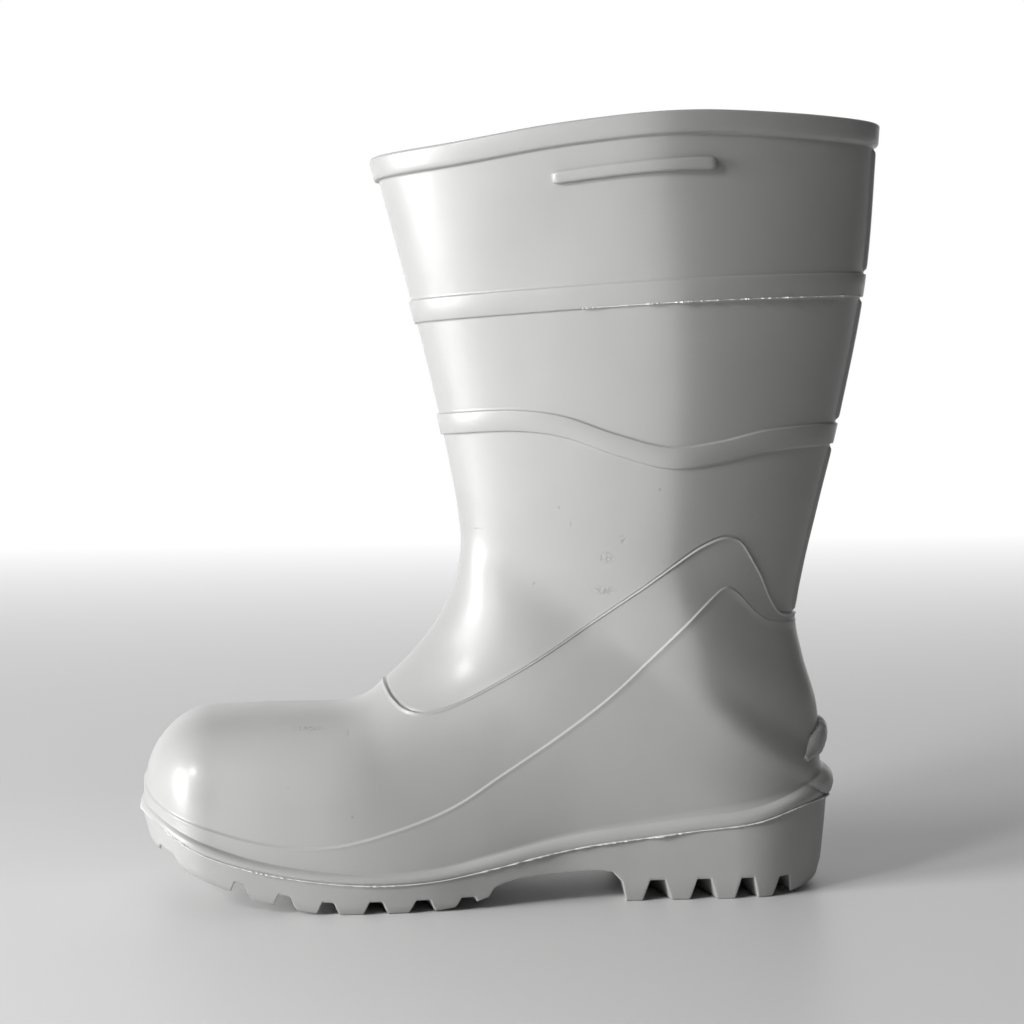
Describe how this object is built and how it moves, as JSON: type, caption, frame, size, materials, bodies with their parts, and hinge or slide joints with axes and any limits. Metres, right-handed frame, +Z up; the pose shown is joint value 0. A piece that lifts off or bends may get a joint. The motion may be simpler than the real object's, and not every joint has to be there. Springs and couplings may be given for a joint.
{
  "type": "mid-calf work boot",
  "caption": "Mid-calf pull-on work boot moulded in plastic, with a wide collar, raised bands, a lipped sole with deep cleats and a loose insole.",
  "frame": {"origin": "on the floor under the flat of the heel, on the middle line of the shaft", "axes": "+X from heel to toe, +Y to the outer side of the foot, +Z up"},
  "size_m": [0.32, 0.1129, 0.3265],
  "materials": {
    "upper": "satin moulded plasticised vinyl, pale grey",
    "outsole": "satin moulded, pale grey",
    "insole": "felted foam, matt"
  },
  "bodies": {
    "root": {"upper": "upper", "outsole": "outsole", "insole": "insole"}
  },
  "joints": []
}
